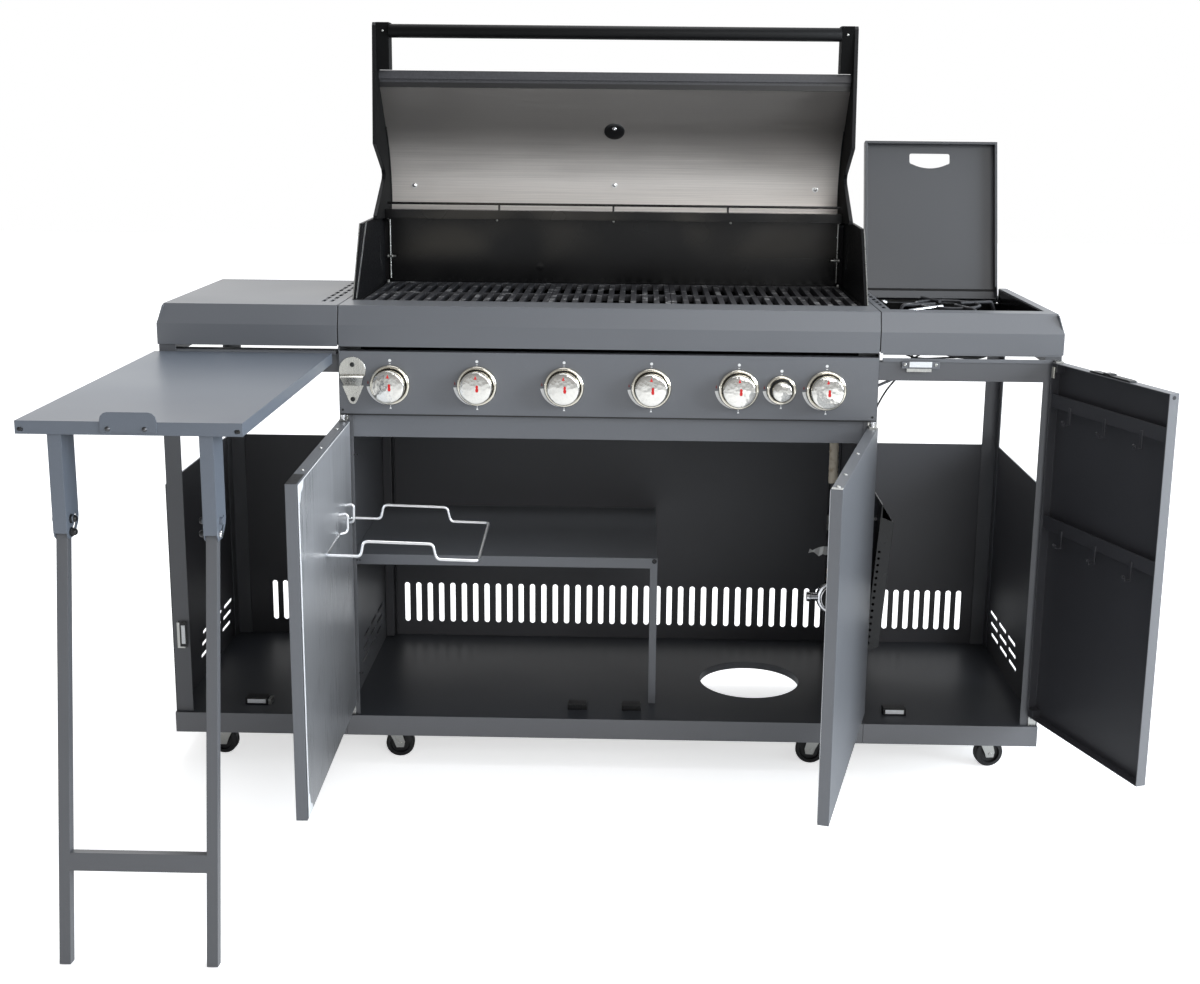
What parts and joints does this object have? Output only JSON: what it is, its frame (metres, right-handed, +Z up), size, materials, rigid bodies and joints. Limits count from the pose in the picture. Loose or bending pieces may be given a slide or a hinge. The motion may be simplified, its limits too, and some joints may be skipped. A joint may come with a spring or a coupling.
{
  "type": "gas barbecue grill",
  "caption": "Cabinet gas barbecue grill with an open hood, side burner with lid, open doors and a fold-out side table on legs, on swivel casters.",
  "frame": {"origin": "on the ground, midway between the two ends of the middle cabinet, below the front plane of the worktop's lip", "axes": "+X to the cook's right, +Y to the back of the grill, +Z up"},
  "size_m": [1.728, 1.2099, 1.38],
  "materials": {
    "powder_dark": "satin dark grey powder coat",
    "powder_light": "satin grey powder coat on the worktops, doors and table",
    "enamel_black": "glossy black enamel",
    "cast_black": "matt black enamelled casting",
    "casting_charcoal": "satin charcoal paint on castings",
    "liner_steel": "brushed stainless steel",
    "burner_steel": "plain stainless steel",
    "chrome": "bright chrome",
    "zinc": "bright zinc plate",
    "hose_rubber": "black rubber hose",
    "wheel_rubber": "black rubber wheel"
  },
  "bodies": {
    "cart": {"base_centre_pan": "powder_dark", "base_side_pans": "powder_dark", "cart_frame": "powder_dark", "partitions": "powder_dark", "back_panels": "powder_dark", "side_panels": "powder_dark", "left_shelf": "powder_light", "right_shelf": "powder_light", "centre_fascia": "powder_light", "control_panel": "powder_light", "header_rail": "powder_dark", "firebox": "enamel_black", "firebox_cheeks": "casting_charcoal", "cooking_grates": "cast_black", "burners": "burner_steel", "flame_tamers": "burner_steel", "gas_manifold": "zinc", "rear_rail": "enamel_black", "knob_bezels": "chrome", "bottle_opener": "chrome", "inner_shelf": "powder_dark", "side_burner": "enamel_black", "condiment_basket": "enamel_black", "gas_hose": "hose_rubber", "hose_fittings": "zinc", "gas_regulator": "chrome", "door_hardware": "zinc"},
    "hood": {"hood_shell": "enamel_black", "hood_liner": "liner_steel", "hood_ends": "casting_charcoal", "hood_handle": "casting_charcoal"},
    "lid": {"side_lid": "powder_light"},
    "left_door": {"left_door": "powder_light", "wire_holder": "chrome"},
    "right_door": {"right_door": "powder_light"},
    "side_door": {"side_door": "powder_light"},
    "table_rod": {"table_hinge": "zinc"},
    "table": {"table_top": "powder_light", "table_channels": "powder_light"},
    "legs": {"leg_frame": "powder_light"},
    "tray": {"grease_tray": "burner_steel"},
    "knob_1_body": {"knob_1": "chrome"},
    "knob_2_body": {"knob_2": "chrome"},
    "knob_3_body": {"knob_3": "chrome"},
    "knob_4_body": {"knob_4": "chrome"},
    "knob_5_body": {"knob_5": "chrome"},
    "knob_6_body": {"knob_6": "chrome"},
    "knob_side_body": {"knob_side": "chrome"},
    "fork_1": {"caster_fork_1": "zinc"},
    "wheel_1": {"caster_wheel_1": "wheel_rubber"},
    "fork_2": {"caster_fork_2": "zinc"},
    "wheel_2": {"caster_wheel_2": "wheel_rubber"},
    "fork_3": {"caster_fork_3": "zinc"},
    "wheel_3": {"caster_wheel_3": "wheel_rubber"},
    "fork_4": {"caster_fork_4": "zinc"},
    "wheel_4": {"caster_wheel_4": "wheel_rubber"},
    "fork_5": {"caster_fork_5": "zinc"},
    "wheel_5": {"caster_wheel_5": "wheel_rubber"},
    "fork_6": {"caster_fork_6": "zinc"},
    "wheel_6": {"caster_wheel_6": "wheel_rubber"}
  },
  "joints": [
    {"name": "hood_hinge", "type": "hinge", "parent": "cart", "child": "hood", "pos_m": [0, 0.418, 1.008], "axis": [1, 0, 0], "range_deg": [0, 95]},
    {"name": "side_lid_hinge", "type": "hinge", "parent": "cart", "child": "lid", "pos_m": [0.645, 0.392, 0.852], "axis": [1, 0, 0], "range_deg": [0, 105.4]},
    {"name": "left_door_hinge", "type": "hinge", "parent": "cart", "child": "left_door", "pos_m": [-0.476, -0.011, 0.4], "axis": [0, 0, 1], "range_deg": [-1.4, 88.6]},
    {"name": "right_door_hinge", "type": "hinge", "parent": "cart", "child": "right_door", "pos_m": [0.476, -0.011, 0.4], "axis": [0, 0, 1], "range_deg": [-75.2, 14.8]},
    {"name": "side_door_hinge", "type": "hinge", "parent": "cart", "child": "side_door", "pos_m": [0.8, -0.011, 0.4], "axis": [0, 0, 1], "range_deg": [-109.7, 0]},
    {"name": "table_fold", "type": "hinge", "parent": "cart", "child": "table_rod", "pos_m": [-0.655, -0.011, 0.7775], "axis": [1, 0, 0], "range_deg": [0, 34]},
    {"name": "table_close", "type": "hinge", "parent": "table_rod", "child": "table", "pos_m": [-0.655, -0.011, 0.7775], "axis": [1, 0, 0], "range_deg": [0, 56]},
    {"name": "leg_fold", "type": "hinge", "parent": "table", "child": "legs", "pos_m": [-0.655, -0.6084, 0.641], "axis": [1, 0, 0], "range_deg": [0, 98.6]},
    {"name": "grease_tray_slide", "type": "slide", "parent": "cart", "child": "tray", "axis": [0, 1, 0], "range_m": [0, 0.3]},
    {"name": "knob_1_turn", "type": "hinge", "parent": "cart", "child": "knob_1_body", "pos_m": [-0.3915, -0.01, 0.731], "axis": [0, -1, 0], "range_deg": [0, 180]},
    {"name": "knob_2_turn", "type": "hinge", "parent": "cart", "child": "knob_2_body", "pos_m": [-0.2349, -0.01, 0.731], "axis": [0, -1, 0], "range_deg": [0, 180]},
    {"name": "knob_3_turn", "type": "hinge", "parent": "cart", "child": "knob_3_body", "pos_m": [-0.0783, -0.01, 0.731], "axis": [0, -1, 0], "range_deg": [0, 180]},
    {"name": "knob_4_turn", "type": "hinge", "parent": "cart", "child": "knob_4_body", "pos_m": [0.0783, -0.01, 0.731], "axis": [0, -1, 0], "range_deg": [0, 180]},
    {"name": "knob_5_turn", "type": "hinge", "parent": "cart", "child": "knob_5_body", "pos_m": [0.2349, -0.01, 0.731], "axis": [0, -1, 0], "range_deg": [0, 180]},
    {"name": "knob_6_turn", "type": "hinge", "parent": "cart", "child": "knob_6_body", "pos_m": [0.3915, -0.01, 0.731], "axis": [0, -1, 0], "range_deg": [0, 180]},
    {"name": "knob_side_turn", "type": "hinge", "parent": "cart", "child": "knob_side_body", "pos_m": [0.3112, -0.01, 0.731], "axis": [0, -1, 0], "range_deg": [0, 180]},
    {"name": "caster_1_swivel", "type": "hinge", "parent": "cart", "child": "fork_1", "pos_m": [-0.71575, 0.04, 0.08], "axis": [0, 0, 1], "continuous": true},
    {"name": "caster_1_roll", "type": "hinge", "parent": "fork_1", "child": "wheel_1", "pos_m": [-0.73171, 0.04112, 0.027], "axis": [0.0698, 0.9976, 0], "continuous": true},
    {"name": "caster_2_swivel", "type": "hinge", "parent": "cart", "child": "fork_2", "pos_m": [-0.408, 0.04, 0.08], "axis": [0, 0, 1], "continuous": true},
    {"name": "caster_2_roll", "type": "hinge", "parent": "fork_2", "child": "wheel_2", "pos_m": [-0.39204, 0.04112, 0.027], "axis": [0.0698, -0.9976, 0], "continuous": true},
    {"name": "caster_3_swivel", "type": "hinge", "parent": "cart", "child": "fork_3", "pos_m": [0.408, 0.04, 0.08], "axis": [0, 0, 1], "continuous": true},
    {"name": "caster_3_roll", "type": "hinge", "parent": "fork_3", "child": "wheel_3", "pos_m": [0.39216, 0.04223, 0.027], "axis": [0.1392, 0.9903, 0], "continuous": true},
    {"name": "caster_4_swivel", "type": "hinge", "parent": "cart", "child": "fork_4", "pos_m": [0.71575, 0.04, 0.08], "axis": [0, 0, 1], "continuous": true},
    {"name": "caster_4_roll", "type": "hinge", "parent": "fork_4", "child": "wheel_4", "pos_m": [0.73159, 0.04223, 0.027], "axis": [0.1392, -0.9903, 0], "continuous": true},
    {"name": "caster_5_swivel", "type": "hinge", "parent": "cart", "child": "fork_5", "pos_m": [-0.71575, 0.405, 0.08], "axis": [0, 0, 1], "continuous": true},
    {"name": "caster_5_roll", "type": "hinge", "parent": "fork_5", "child": "wheel_5", "pos_m": [-0.73079, 0.41047, 0.027], "axis": [0.342, 0.9397, 0], "continuous": true},
    {"name": "caster_6_swivel", "type": "hinge", "parent": "cart", "child": "fork_6", "pos_m": [0.71575, 0.405, 0.08], "axis": [0, 0, 1], "continuous": true},
    {"name": "caster_6_roll", "type": "hinge", "parent": "fork_6", "child": "wheel_6", "pos_m": [0.73079, 0.41047, 0.027], "axis": [0.342, -0.9397, 0], "continuous": true}
  ],
  "couplings": [
    {"joint": "leg_fold", "follows": "table_fold", "ratio": 2.9}
  ]
}
